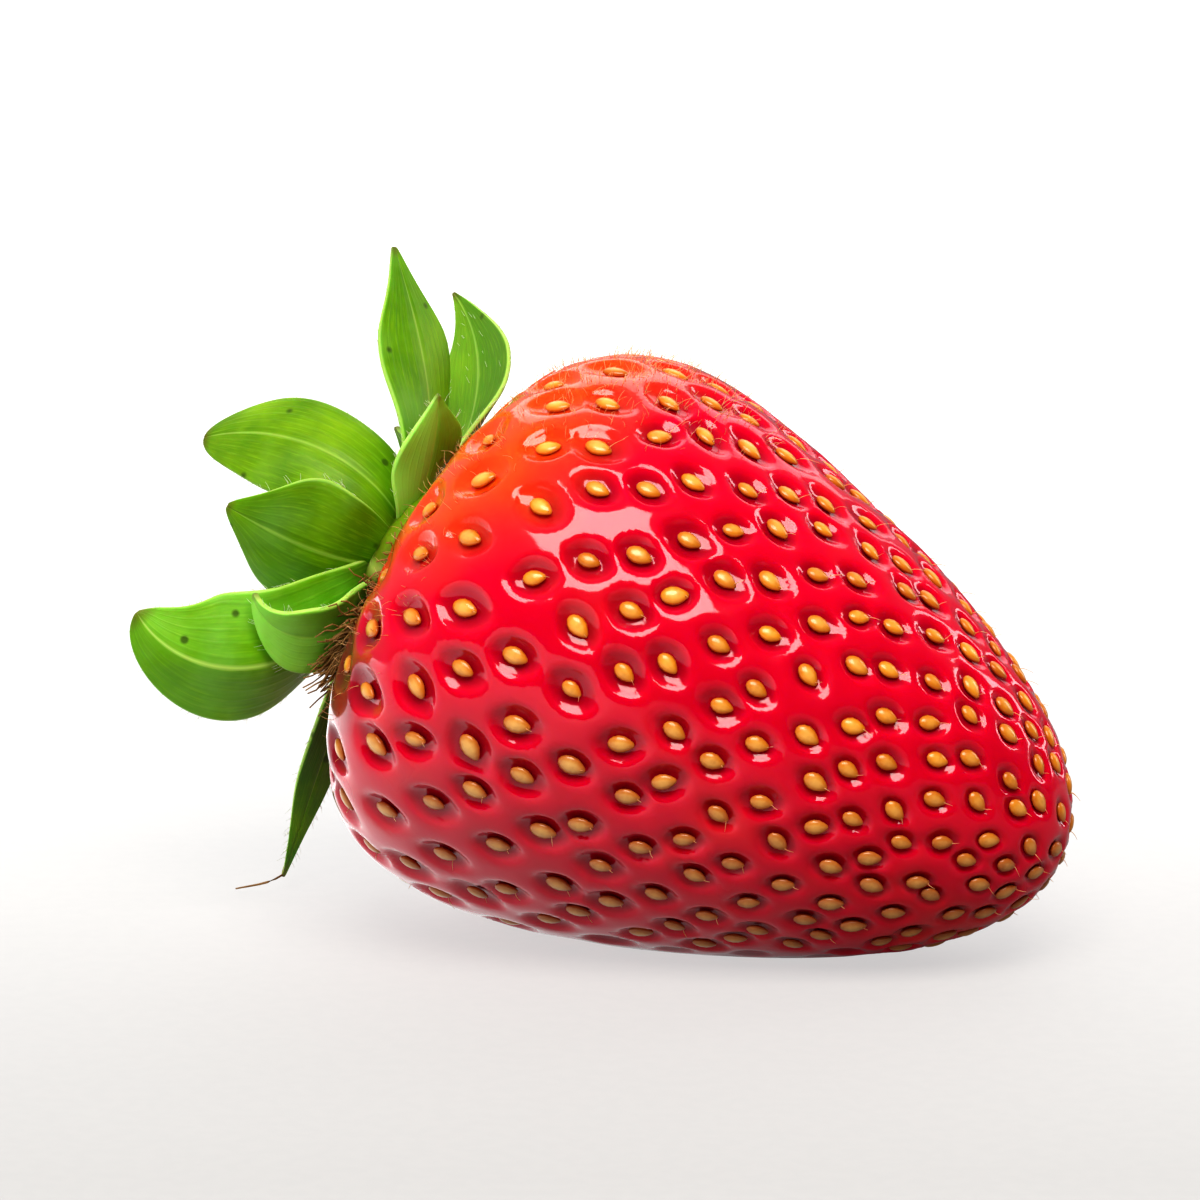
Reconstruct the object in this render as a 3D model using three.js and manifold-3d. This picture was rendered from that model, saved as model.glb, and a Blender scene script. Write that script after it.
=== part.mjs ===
// A ripe strawberry, picked with its calyx on and lying on its side. Millimetres, +Z up.
// The origin is the middle of the small flat spot it rests on, and +X runs from the calyx towards the tip.
//
//   berry      the swollen red receptacle, one solid, with its achenes standing in their pits
//   calyx      the green hub with its sepals and the narrower bractlets between them, one solid
//   stem_stub  what is left of the stalk, snapped off just above the calyx
import * as THREE from "three";
import { ConvexHull } from "three/addons/math/ConvexHull.js";
import { mergeVertices } from "three/addons/utils/BufferGeometryUtils.js";
import Module from "manifold-3d";

const wasm = await Module();
wasm.setup();

// ---------------------------------------------------------------- driving dimensions

const BERRY_LENGTH = 44; // calyx end to tip, along the axis
const BERRY_WIDTH = 35; // widest diameter, a third of the way from the calyx
const LEAN = THREE.MathUtils.degToRad(20); // the axis dips this far towards the tip
const SINK = 0.6; // how far the flesh is pressed flat where it rests

const HOLLOW_DEPTH = 1.6; // the dip in the broad end, which the calyx sits in
const HOLLOW_WIDTH = 0.42; // its spread, as a share of the end's own radius
const SHOULDER_SLANT = 2.5; // the shoulder nearest the ground reaches this much further back

const SHOULDER_CELL = 4.7; // spacing of the achenes at the shoulder
const TIP_CELL = 2.3; // and at the tip
const BARE_NECK = 5; // radius under the calyx that has no achenes
const ACHENE_LENGTH = 1.6; // at the shoulder
const ACHENE_WIDTH = 1.1;
const ACHENE_HEIGHT = 0.55; // from the floor of the pit
const TIP_SIZE = 0.86; // of an achene at the tip, as a share of one at the shoulder
const PIT_DEPTH = 0.14; // as a share of the spacing
const PIT_REACH = 0.35; // from its middle to its lip, as a share of the spacing
const LIP_SHARE = 0.3; // depth at the lip, as a share of the pit's
const RIDGE_HEIGHT = 0.05; // of the flesh where three pits meet
const RELIEF_FADE = 1.2; // the pits are pressed out of the flesh this near the ground

const GAP = 0.35; // left between pieces that touch
const HUB_RADIUS = 4.6;
const HUB_HEIGHT = 1.7;
const BLADE_THICKNESS = 0.65;
const BLADE_ROOT = 2.2; // the blades start this far from the axis, inside the hub
const BLADE_RISE = 0.85; // and this far behind the hub's front face
const STUB_RADIUS = 1.15;
const STUB_LENGTH = 2.6;
const STUB_DROOP = 0.5;

// The leaves of the calyx, in order round the axis. Turn is in degrees, from the top of the fruit towards
// its front. Lean is how the blade points at its root, its middle and its tip, where 0 is straight out from
// the axis and 90 straight back. Sway bends it sideways and twist rolls it, in degrees over its length.
// Cup is how far its edges stand back from its midrib, as a share of its width.
const SEPALS = [
  { turn: -12, length: 17.0, width: 6.6, lean: [5, 40, 58], sway: 14, twist: -36, cup: 0.08 },
  { turn: 31, length: 16.8, width: 6.9, lean: [22, 94, 133], sway: -4, twist: -24, cup: 0.11 },
  { turn: 90, length: 10.9, width: 7.4, lean: [30, 64, 82], sway: 6, twist: 0, cup: 0.1 },
  { turn: 137, length: 18.4, width: 8.6, lean: [0, 31, 106], sway: 25, twist: 60, cup: 0.14 },
  { turn: 216, length: 14.0, width: 6.8, lean: [8, 30, 56], sway: -8, twist: 10, cup: 0.12 },
  { turn: 266, length: 14.6, width: 7.2, lean: [12, 52, 78], sway: 8, twist: -8, cup: 0.12 },
  { turn: 312, length: 17.6, width: 5.6, lean: [2, 23, 35], sway: 8, twist: 64, cup: 0.08 },
];
const BRACTLETS = [
  { turn: 13, length: 9.8, width: 3.8, lean: [1, 12, 18], sway: -8, twist: -44, cup: 0.06 },
  { turn: 129, length: 11.6, width: 5.4, lean: [0, 17, 122], sway: 33, twist: 20, cup: -0.06 },
  { turn: 189, length: 20.2, width: 2.8, lean: [1, -4, -7], sway: 11, twist: 56, cup: 0.06 },
  { turn: 241, length: 10.6, width: 3.2, lean: [4, 20, 34], sway: 6, twist: 0, cup: 0.1 },
  { turn: 290, length: 10.0, width: 3.2, lean: [8, 36, 58], sway: -6, twist: 0, cup: 0.1 },
];

const GOLDEN_ANGLE = Math.PI * (3 - Math.sqrt(5));

// Repeatable random numbers from 0 to 1 (mulberry32).
function seeded(seed) {
  let state = seed;
  return () => {
    state = (state + 0x6d2b79f5) | 0;
    let t = Math.imul(state ^ (state >>> 15), 1 | state);
    t = (t + Math.imul(t ^ (t >>> 7), 61 | t)) ^ t;
    return ((t ^ (t >>> 14)) >>> 0) / 4294967296;
  };
}

// ---------------------------------------------------------------- the berry's smooth form

// The fruit's own frame has x along the axis towards the tip, and z up and away from the ground.
// q is a direction from the middle of the fruit, and c is 1 at the calyx end and -1 at the tip.
function skin(q) {
  const c = -q.x;
  const ring = Math.hypot(q.y, q.z);
  const spread = (BERRY_WIDTH / 2) * (0.893 + 0.388 * c + 0.233 * c * c + 0.062 * c ** 3);
  const turn = Math.atan2(q.z, q.y);
  const lobes = 1 + ring * ring * (0.012 * Math.cos(2 * turn + 0.6) + 0.01 * Math.cos(3 * turn - 0.9));
  const hollow = c > 0 ? HOLLOW_DEPTH * Math.exp(-((ring / HOLLOW_WIDTH) ** 2)) : 0;
  const slant = SHOULDER_SLANT * q.z * Math.max(0, c);
  const radius = spread * lobes;
  return new THREE.Vector3((-BERRY_LENGTH / 2) * c + hollow + slant, radius * q.y, radius * q.z);
}

// Two directions on the sphere at right angles to q and to each other, the first towards the tip.
function across(q) {
  const tipward = new THREE.Vector3(1, 0, 0).addScaledVector(q, -q.x);
  if (tipward.lengthSq() < 1e-6) tipward.set(0, 0, 1);
  tipward.normalize();
  return [tipward, new THREE.Vector3().crossVectors(q, tipward)];
}

// The surface at q: its point, its outward normal, and how it moves as q moves tipward and sideways.
function surface(q) {
  const step = 1e-3;
  const point = skin(q);
  const [tipward, sideways] = across(q);
  const slope = (way) => skin(q.clone().addScaledVector(way, step).normalize()).sub(point).divideScalar(step);
  const along = slope(tipward);
  const side = slope(sideways);
  const normal = new THREE.Vector3().crossVectors(along, side).normalize();
  return { point, normal, along, side, tipward, sideways };
}

// The direction whose point lies `ahead` mm tipward and `aside` mm sideways of q's, over the skin.
function walk(q, ahead, aside) {
  const s = surface(q);
  return q
    .clone()
    .addScaledVector(s.tipward, ahead / s.along.length())
    .addScaledVector(s.sideways, aside / s.side.length())
    .normalize();
}

// ---------------------------------------------------------------- from the fruit's frame to the part's

const tilt = new THREE.Matrix4().makeRotationY(LEAN);

// The belly line under the fruit, leaned over: where it is lowest, and the stretch pressed flat.
function restingPlace() {
  const belly = [];
  for (let i = 0; i <= 720; i++) {
    const a = (Math.PI * i) / 720;
    belly.push(skin(new THREE.Vector3(-Math.cos(a), 0, -Math.sin(a))).applyMatrix4(tilt));
  }
  const lowest = Math.min(...belly.map((p) => p.z));
  const flat = belly.filter((p) => p.z < lowest + SINK).map((p) => p.x);
  return new THREE.Vector3((Math.min(...flat) + Math.max(...flat)) / 2, 0, lowest + SINK);
}

const toPart = new THREE.Matrix4().setPosition(restingPlace().negate()).multiply(tilt);

// ---------------------------------------------------------------- achenes

// Spacing of the achenes where the skin's c has this value.
function cell(c) {
  return TIP_CELL + (SHOULDER_CELL - TIP_CELL) * ((1 + c) / 2) ** 1.1;
}

// The achenes stand on one spiral, a golden angle apart, each with the same share of skin around it.
function acheneDirections() {
  const random = seeded(7);
  const steps = 2000;
  const rooms = [0];
  const polar = (i) => Math.PI - (Math.PI * i) / steps; // from the tip to the calyx end
  const ring = (i) => skin(new THREE.Vector3(-Math.cos(polar(i)), Math.sin(polar(i)), 0));
  for (let i = 1; i <= steps; i++) {
    const [a, b] = [ring(i - 1), ring(i)];
    const band = Math.PI * (Math.abs(a.y) + Math.abs(b.y)) * a.distanceTo(b);
    rooms.push(rooms[i - 1] + band / (0.87 * cell(Math.cos(polar(i))) ** 2));
  }
  const found = [];
  let i = 0;
  for (let n = 0; n + 0.5 < rooms[steps]; n++) {
    while (rooms[i] < n + 0.5) i++;
    const a = polar(i) + 0.04 * (random() - 0.5);
    const turn = n * GOLDEN_ANGLE + 0.07 * (random() - 0.5) / Math.sin(a);
    const q = new THREE.Vector3(-Math.cos(a), Math.sin(a) * Math.cos(turn), Math.sin(a) * Math.sin(turn));
    const p = skin(q);
    if (p.x > 0 || Math.hypot(p.y, p.z) > BARE_NECK) found.push(q);
  }
  return found;
}

// The triangles over a set of directions on the sphere, each as three places in the list.
function trianglesOver(directions) {
  const place = new Map(directions.map((q, i) => [q, i]));
  return new ConvexHull().setFromPoints(directions).faces.map((face) => {
    const corners = [face.edge.prev, face.edge, face.edge.next].map((e) => place.get(e.head().point));
    return corners;
  });
}

// A closed geometry in the part's frame, raised from the smooth skin by each direction's height. What would
// reach below the ground is pressed flat there, and the relief fades out just above it.
function raisedSkin(directions, heights) {
  const positions = directions.flatMap((q, i) => {
    const s = surface(q);
    const clearance = s.point.clone().applyMatrix4(toPart).z;
    const relief = heights[i] * THREE.MathUtils.smoothstep(clearance, 0, RELIEF_FADE);
    const point = s.point.addScaledVector(s.normal, relief).applyMatrix4(toPart);
    return [point.x, point.y, Math.max(0, point.z)];
  });
  return new THREE.BufferGeometry()
    .setAttribute("position", new THREE.Float32BufferAttribute(positions, 3))
    .setIndex(trianglesOver(directions).flat());
}

function berryGeometry() {
  const achenes = acheneDirections();
  const directions = [];
  const heights = [];
  const add = (q, height) => {
    directions.push(q);
    heights.push(height);
  };
  for (const q of achenes) {
    const room = cell(-q.x);
    const floor = -PIT_DEPTH * room;
    const size = TIP_SIZE + (1 - TIP_SIZE) * THREE.MathUtils.smoothstep(room, TIP_CELL, SHOULDER_CELL);
    add(q, floor + ACHENE_HEIGHT);
    for (let k = 0; k < 6; k++) {
      const foot = (Math.PI * k) / 3;
      const [ahead, aside] = [(ACHENE_LENGTH / 2) * Math.cos(foot), (ACHENE_WIDTH / 2) * Math.sin(foot)];
      add(walk(q, size * ahead, size * aside), floor);
      const lip = foot + Math.PI / 6;
      add(walk(q, PIT_REACH * room * Math.cos(lip), PIT_REACH * room * Math.sin(lip)), LIP_SHARE * floor);
    }
  }
  for (const corners of trianglesOver(achenes)) {
    const middle = corners.reduce((sum, i) => sum.add(achenes[i]), new THREE.Vector3()).normalize();
    add(middle, RIDGE_HEIGHT);
  }
  // Plain flesh under the calyx.
  add(new THREE.Vector3(-1, 0, 0), 0);
  for (let k = 0; k < 10; k++) {
    const turn = (Math.PI * k) / 5;
    add(new THREE.Vector3(-0.985, 0.17 * Math.cos(turn), 0.17 * Math.sin(turn)).normalize(), 0);
  }
  return raisedSkin(directions, heights);
}

// ---------------------------------------------------------------- calyx

// The calyx's own frame has its origin on the hub's front face, a gap behind the fruit, and -x away from it.
const calyxToFruit = (() => {
  const seat = surface(new THREE.Vector3(-1, 0, 0));
  const away = new THREE.Quaternion().setFromUnitVectors(new THREE.Vector3(-1, 0, 0), seat.normal);
  const origin = seat.point.addScaledVector(seat.normal, GAP);
  return new THREE.Matrix4().compose(origin, away, new THREE.Vector3(1, 1, 1));
})();

// The solid of a closed geometry, for joining to another.
function solidOf(geometry) {
  const bare = geometry.clone();
  bare.deleteAttribute("normal");
  bare.deleteAttribute("uv");
  const merged = mergeVertices(bare, 1e-5);
  return new wasm.Manifold(
    new wasm.Mesh({
      numProp: 3,
      vertProperties: new Float32Array(merged.attributes.position.array),
      triVerts: new Uint32Array(merged.index.array),
    }),
  );
}

// The geometry of a solid, moved from the calyx's frame to the part's.
function placedGeometry(solid) {
  const { vertProperties, triVerts } = solid.getMesh();
  return new THREE.BufferGeometry()
    .setAttribute("position", new THREE.Float32BufferAttribute(vertProperties, 3))
    .setIndex([...triVerts])
    .applyMatrix4(calyxToFruit)
    .applyMatrix4(toPart);
}

// How wide a blade is at t, from its root at 0 to its point at 1, as a share of its widest.
function bladeOutline(t) {
  const widest = 0.46;
  if (t < widest) return 0.52 + 0.48 * Math.sin((Math.PI / 2) * (t / widest));
  return Math.max(0.07, Math.cos((Math.PI / 2) * ((t - widest) / (1 - widest))) ** 0.75);
}

// The frame of a blade at t: its middle, its direction, its side and its face towards the fruit.
function bladeFrames(leaf, stations) {
  const turn = THREE.MathUtils.degToRad(leaf.turn);
  const out = new THREE.Vector3(0, -Math.sin(turn), Math.cos(turn));
  const back = new THREE.Vector3(-1, 0, 0);
  const middle = out.clone().multiplyScalar(BLADE_ROOT).addScaledVector(back, BLADE_RISE);
  const frames = [];
  for (let i = 0; i <= stations; i++) {
    const t = i / stations;
    const [root, halfway, tip] = leaf.lean;
    const bend = root * (1 - t) * (1 - 2 * t) + halfway * 4 * t * (1 - t) + tip * t * (2 * t - 1);
    const lean = THREE.MathUtils.degToRad(bend);
    const sway = THREE.MathUtils.degToRad(leaf.sway * t);
    const twist = THREE.MathUtils.degToRad(leaf.twist * t);
    const along = out.clone().multiplyScalar(Math.cos(lean)).addScaledVector(back, Math.sin(lean));
    const side = new THREE.Vector3(-1, 0, 0).cross(out);
    const direction = along.clone().multiplyScalar(Math.cos(sway)).addScaledVector(side, Math.sin(sway));
    side.multiplyScalar(Math.cos(sway)).addScaledVector(along, -Math.sin(sway));
    side.applyAxisAngle(direction, twist);
    const face = new THREE.Vector3().crossVectors(side, direction);
    if (i > 0) middle.addScaledVector(direction, leaf.length / stations);
    frames.push({ t, middle: middle.clone(), side, face });
  }
  return frames;
}

// A leaf blade: a grid of points on each face, both split into triangles alike, and a rim between them.
function bladeGeometry(leaf) {
  const stations = 10;
  const lanes = 4;
  const positions = [];
  const index = [];
  for (const layer of [-BLADE_THICKNESS / 2, BLADE_THICKNESS / 2]) {
    for (const { t, middle, side, face } of bladeFrames(leaf, stations)) {
      const half = (leaf.width / 2) * bladeOutline(t);
      for (let lane = 0; lane <= lanes; lane++) {
        const u = (2 * lane) / lanes - 1;
        const point = middle.clone().addScaledVector(side, half * u);
        point.addScaledVector(face, layer - 2 * half * leaf.cup * Math.abs(u) ** 1.5);
        positions.push(...point.toArray());
      }
    }
  }
  const row = lanes + 1;
  const underside = row * (stations + 1);
  const quad = (a, b, c, d) => index.push(a, b, c, a, c, d);
  for (let i = 0; i < stations; i++) {
    for (let lane = 0; lane < lanes; lane++) {
      const a = i * row + lane;
      const b = a + row;
      const c = b + 1;
      const d = a + 1;
      quad(a, b, c, d);
      index.push(underside + a, underside + c, underside + b, underside + a, underside + d, underside + c);
    }
  }
  const rim = [];
  for (let i = 0; i < stations; i++) rim.push(i * row);
  for (let lane = 0; lane < lanes; lane++) rim.push(stations * row + lane);
  for (let i = stations; i > 0; i--) rim.push(i * row + lanes);
  for (let lane = lanes; lane > 0; lane--) rim.push(lane);
  rim.forEach((a, k) => {
    const b = rim[(k + 1) % rim.length];
    quad(b, a, underside + a, underside + b);
  });
  return new THREE.BufferGeometry()
    .setAttribute("position", new THREE.Float32BufferAttribute(positions, 3))
    .setIndex(index);
}

// The hub is flat towards the fruit and domed behind.
function hubGeometry() {
  const edge = 0.5;
  const rings = 6;
  const profile = [new THREE.Vector2(0, -HUB_HEIGHT)];
  for (let i = rings - 1; i >= 0; i--) {
    const a = (Math.PI / 2) * (i / rings);
    const rise = edge + (HUB_HEIGHT - edge) * Math.sin(a);
    profile.push(new THREE.Vector2(HUB_RADIUS * Math.cos(a) ** 0.7, -rise));
  }
  profile.push(new THREE.Vector2(HUB_RADIUS, 0), new THREE.Vector2(0, 0));
  return new THREE.LatheGeometry(profile, 24).rotateZ(-Math.PI / 2);
}

function calyxGeometry() {
  const blades = [...SEPALS, ...BRACTLETS].map((leaf) => solidOf(bladeGeometry(leaf)));
  return placedGeometry(blades.reduce((whole, blade) => whole.add(blade), solidOf(hubGeometry())));
}

// ---------------------------------------------------------------- stem stub

// A short bent stump with a torn end, standing a gap behind the hub.
function stubGeometry() {
  const random = seeded(3);
  const sides = 10;
  const rings = 4;
  const positions = [-HUB_HEIGHT - GAP, 0, 0];
  const index = [];
  for (let ring = 0; ring <= rings; ring++) {
    const t = ring / rings;
    const torn = ring === rings ? 0.5 : 0;
    for (let side = 0; side < sides; side++) {
      const turn = (2 * Math.PI * side) / sides;
      const radius = STUB_RADIUS * (1.12 - 0.2 * t);
      const x = -HUB_HEIGHT - GAP - STUB_LENGTH * t - torn * (random() - 0.5);
      positions.push(x, radius * Math.cos(turn), radius * Math.sin(turn) - STUB_DROOP * t * t);
    }
  }
  const end = positions.length / 3;
  positions.push(-HUB_HEIGHT - GAP - STUB_LENGTH + 0.35, 0, -STUB_DROOP);
  for (let side = 0; side < sides; side++) {
    const next = (side + 1) % sides;
    index.push(0, 1 + side, 1 + next);
    for (let ring = 0; ring < rings; ring++) {
      const [a, b] = [1 + ring * sides + side, 1 + ring * sides + next];
      index.push(a, b + sides, b, a, a + sides, b + sides);
    }
    index.push(end, end - sides + next, end - sides + side);
  }
  return new THREE.BufferGeometry()
    .setAttribute("position", new THREE.Float32BufferAttribute(positions, 3))
    .setIndex(index)
    .applyMatrix4(calyxToFruit)
    .applyMatrix4(toPart);
}

// ---------------------------------------------------------------- the part

const group = new THREE.Group();

function addPiece(name, geometry, color, roughness) {
  const piece = new THREE.Mesh(geometry, new THREE.MeshStandardMaterial({ color, roughness, metalness: 0 }));
  piece.name = name;
  group.add(piece);
}

addPiece("berry", berryGeometry(), 0xd9141c, 0.25);
addPiece("calyx", calyxGeometry(), 0x4f9a1c, 0.5);
addPiece("stem_stub", stubGeometry(), 0x8a7a3c, 0.8);

export default group;
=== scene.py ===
"""A ripe strawberry on its side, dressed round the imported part: flesh with its pits, achenes with their
dried styles, the leafy calyx with its hairs, the withered stamens and the snapped stalk.

Forms are worked out in millimetres in the fruit's own frame, where x runs from the calyx to the tip, and
are turned to metres in the part's frame when a mesh is written.
"""

import math
from typing import NamedTuple

import bpy
import numpy as np
from mathutils import Matrix, Vector, noise


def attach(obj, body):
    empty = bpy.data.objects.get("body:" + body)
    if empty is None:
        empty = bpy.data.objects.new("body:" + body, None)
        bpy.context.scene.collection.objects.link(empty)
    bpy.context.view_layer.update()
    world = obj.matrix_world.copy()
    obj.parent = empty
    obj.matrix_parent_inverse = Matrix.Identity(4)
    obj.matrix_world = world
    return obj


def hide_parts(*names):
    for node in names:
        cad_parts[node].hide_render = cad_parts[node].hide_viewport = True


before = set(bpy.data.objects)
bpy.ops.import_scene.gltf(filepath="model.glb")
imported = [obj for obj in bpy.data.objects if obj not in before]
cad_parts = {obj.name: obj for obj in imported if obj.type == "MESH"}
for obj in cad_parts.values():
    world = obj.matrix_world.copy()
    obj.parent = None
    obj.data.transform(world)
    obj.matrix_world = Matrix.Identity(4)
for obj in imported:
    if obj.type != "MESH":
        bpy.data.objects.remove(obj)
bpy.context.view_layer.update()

bl_info = {
    "name": "Strawberry",
    "version": (1, 0, 0),
    "blender": (4, 5, 0),
    "location": "3D View > Sidebar > Strawberry",
    "description": "Models a ripe strawberry with its calyx",
    "category": "Add Mesh",
}

MM = 0.001
GOLDEN_ANGLE = math.pi * (3 - math.sqrt(5))

# ------------------------------------------------------------------ sizes of the fruit, in mm and degrees

BERRY_LENGTH = 44.0
BERRY_WIDTH = 35.0
LEAN = 20.0  # how far the tip points down
SINK = 0.6  # depth of the flat spot that the fruit rests on
PROFILE = (0.893, 0.388, 0.233, 0.062)  # of the half width, in powers of c, from -1 at the tip to 1
LOBES = ((0.012, 2, 0.6), (0.01, 3, -0.9))  # swelling of the flesh, lobes round it and their turn
HOLLOW_DEPTH = 1.6  # of the hollow in the shoulder, in which the calyx sits
HOLLOW_WIDTH = 0.42  # as a share of the half width
SHOULDER_SLANT = 2.5
SHOULDER_CELL = 4.7  # spacing of the achenes at the calyx
TIP_CELL = 2.3  # and at the tip
BARE_NECK = 5.0  # reach of the skin round the calyx that has no achenes
RELIEF_FADE = 1.2  # height over the ground in which the pits fade out

PIT_LONG = 1.16  # shape of a pit, as a share of its reach
PIT_WIDE = 0.86
ACHENE_TAPER = 0.32  # how much narrower an achene is at its end
ACHENE_SEAT = 0.85  # height of its middle over the pit's floor, as a share of half its height
ACHENE_SWING = 16.0  # how far achenes turn away from the line to the tip
STYLES_LEFT = 0.7  # share of the achenes that still have their style
STYLE_CLEARANCE = 2.5  # height over the ground at which styles begin
STYLE_ROOT = (0.55, 0.25)  # how far ahead of the achene's middle and over the pit's floor a style starts
STYLE_RADIUS = 0.03
ROOT_SINK = 0.06  # how deep hairs and stamens start in the flesh
SHOULDER_TRIES = 15000  # directions tried for the shoulder's hairs, of which the upper ones are kept
SHOULDER_HAIR_RADIUS = 0.022
LEAF_HAIRS_PER_MM = 6
LEAF_HAIR_RADIUS = 0.018
HAIRS_ON_EDGE = 0.6  # share of the leaf hairs, the others stand on the underside
STAMENS_ROUND = 190  # stamens in the ring round the calyx
STAMENS_LOW = 190  # and in the bushy patch under it
STAMEN_RADIUS = 0.085
STAMEN_LIFT = 0.14  # of a stamen's middle over the skin, past its root
CURL_LENGTH = 2.9  # of the lowest bractlet's dried point

GAP = 0.35  # between the berry, the calyx and the stub
HUB_RADIUS = 4.6
HUB_HEIGHT = 1.7
HUB_RIM = 0.15  # how far behind its front the hub is widest
BLADE_ROOT = 2.2  # how far out on the hub a blade starts
BLADE_RISE = 0.85  # and how high
BLADE_WIDEST = 0.46  # where along a blade it is widest
RIB_HEIGHT = 0.16
RIB_WIDTH = 0.09  # as a share of the half width
RUFFLE = 0.2  # height of the waves along a blade's edges, where its half width is 3 mm
BLADE_COLUMNS = 20
BLADE_ROWS = 44
VEINS = 11
STUB_RADIUS = 1.15
STUB_LENGTH = 2.6
STUB_DROOP = 0.5
STUB_TEAR = 0.45  # how far fibres stand out of its torn face

CAMERA_AZIMUTH = 20.0
CAMERA_ELEVATION = 12.0

# each group of pieces draws its own repeatable random numbers
SPIRAL_SEED = 7
SWING_SEED = 11
STYLE_SEED = 23
BLADE_SEED = 5
LEAF_HAIR_SEED = 31
STAMEN_SEED = 41


class Leaf(NamedTuple):
    """A blade of the calyx, in mm and degrees. It leans away from the fruit, and sways and twists on its
    way out."""

    turn: float  # of its root round the axis
    length: float
    width: float
    lean: tuple  # at its root, halfway and at its point
    sway: float
    twist: float
    cup: float  # how far its edges drop, as a share of its width
    crease: float  # near 1 folds it along the midrib, near 2 rounds it
    tone: float  # from 0, old and dark, to 1, young and bright; past 1 it is painted light, which turns the blade paler
    halves: float = 0.0  # painted light and shade: how much brighter the blade is made on one side of the midrib, and darker on the other
    blunt: float = 0.0  # from 0, a drawn-out point, to 1, a rounded one
    rib: float = 0.35  # how strongly the pale midrib shows
    cool: float = 0.0  # painted correction of light: how far the blade's colour is filtered cooler, taking out the red light that the fruit throws on it


LEAVES = {  # turn, length, width, lean, sway, twist, cup, crease, tone
    "sepal_top": Leaf(-12, 17.0, 6.6, (5, 37, 49), 14, -36, 0.08, 1.2, 0.65, halves=0.1, cool=0.35),
    "sepal_upper": Leaf(31, 15.7, 6.9, (22, 94, 133), -4, -24, 0.11, 1.9, 0.55, blunt=0.9),
    "sepal_front": Leaf(97, 10.3, 8.2, (30, 64, 82), 6, 0, 0.1, 1.9, 0.55, blunt=0.3, cool=0.2),
    "sepal_lower": Leaf(
        137, 18.1, 8.6, (0, 31, 106), 25, 60, 0.2, 1.0, 1.06, halves=0.1, blunt=0.8, rib=1.0, cool=0.45
    ),
    "sepal_under": Leaf(216, 14.0, 6.8, (8, 30, 56), -8, 10, 0.12, 1.5, 0.45),
    "sepal_back": Leaf(266, 14.6, 7.2, (12, 52, 78), 8, -8, 0.12, 1.5, 0.6),
    "sepal_behind": Leaf(312, 18.6, 6.6, (0, 19, 58), 8, 62, 0.08, 1.5, 0.3, halves=0.3),
    "bractlet_top": Leaf(13, 9.4, 5.2, (0, 5, 12), -8, -36, 0.06, 1.5, 1.95, halves=-0.5, cool=0.7),
    "bractlet_front": Leaf(129, 11.6, 5.4, (0, 17, 122), 33, 20, -0.06, 1.5, 1.65, cool=0.5),
    "bractlet_under": Leaf(189, 20.2, 2.8, (1, -4, -7), 11, 56, 0.06, 1.2, 0.0),
    "bractlet_back": Leaf(242, 10.6, 3.2, (2, 9, 16), 7, 0, 0.1, 1.5, 0.4),
    "bractlet_behind": Leaf(289, 10.0, 3.2, (8, 36, 58), -4, 0, 0.1, 1.5, 0.5),
}


def linear(colour):
    """The linear RGB of an sRGB hex colour such as 'd9141c'."""
    channels = [int(colour[i : i + 2], 16) / 255 for i in (0, 2, 4)]
    return tuple(c / 12.92 if c <= 0.04045 else ((c + 0.055) / 1.055) ** 2.4 for c in channels)


def rgba(colour):
    return (*colour, 1.0)


def seeded(seed):
    """Repeatable random numbers from 0 to 1 (mulberry32), the same as the solid part's."""
    state = seed

    def draw():
        nonlocal state
        state = (state + 0x6D2B79F5) & 0xFFFFFFFF
        t = ((state ^ (state >> 15)) * (1 | state)) & 0xFFFFFFFF
        t = ((t + (((t ^ (t >> 7)) * (61 | t)) & 0xFFFFFFFF)) & 0xFFFFFFFF) ^ t
        return ((t ^ (t >> 14)) & 0xFFFFFFFF) / 4294967296

    return draw


def smoothstep(x, low, high):
    t = np.clip((x - low) / (high - low), 0, 1)
    return t * t * (3 - 2 * t)


def unit(v):
    return v / np.linalg.norm(v, axis=-1, keepdims=True)


# ------------------------------------------------------------------ the fruit's form


def skin(q):
    """The smooth skin, in mm in the fruit's frame, at directions q from its middle."""
    c = -q[:, 0]
    ring = np.hypot(q[:, 1], q[:, 2])
    spread = (BERRY_WIDTH / 2) * sum(share * c**power for power, share in enumerate(PROFILE))
    turn = np.arctan2(q[:, 2], q[:, 1])
    lobes = 1 + ring * ring * sum(swelling * np.cos(n * turn + at) for swelling, n, at in LOBES)
    hollow = np.where(c > 0, HOLLOW_DEPTH * np.exp(-((ring / HOLLOW_WIDTH) ** 2)), 0)
    slant = SHOULDER_SLANT * q[:, 2] * np.maximum(0, c)
    radius = spread * lobes
    return np.stack([-BERRY_LENGTH / 2 * c + hollow + slant, radius * q[:, 1], radius * q[:, 2]], 1)


def surface(q):
    """The skin's points and outward normals at q, and how the points move tipwards and sideways with q."""
    tipward = np.array([1.0, 0, 0]) - q * q[:, :1]
    tipward[(tipward**2).sum(1) < 1e-6] = (0, 0, 1)
    tipward = unit(tipward)
    sideways = np.cross(q, tipward)
    point = skin(q)
    step = 1e-3
    along = (skin(unit(q + step * tipward)) - point) / step
    side = (skin(unit(q + step * sideways)) - point) / step
    return point, unit(np.cross(along, side)), along, side


def leaning(points):
    """Points in the fruit's frame, leaned over as it lies."""
    a = math.radians(LEAN)
    turned = np.array([[math.cos(a), 0, math.sin(a)], [0, 1, 0], [-math.sin(a), 0, math.cos(a)]])
    return points @ turned.T


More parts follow.
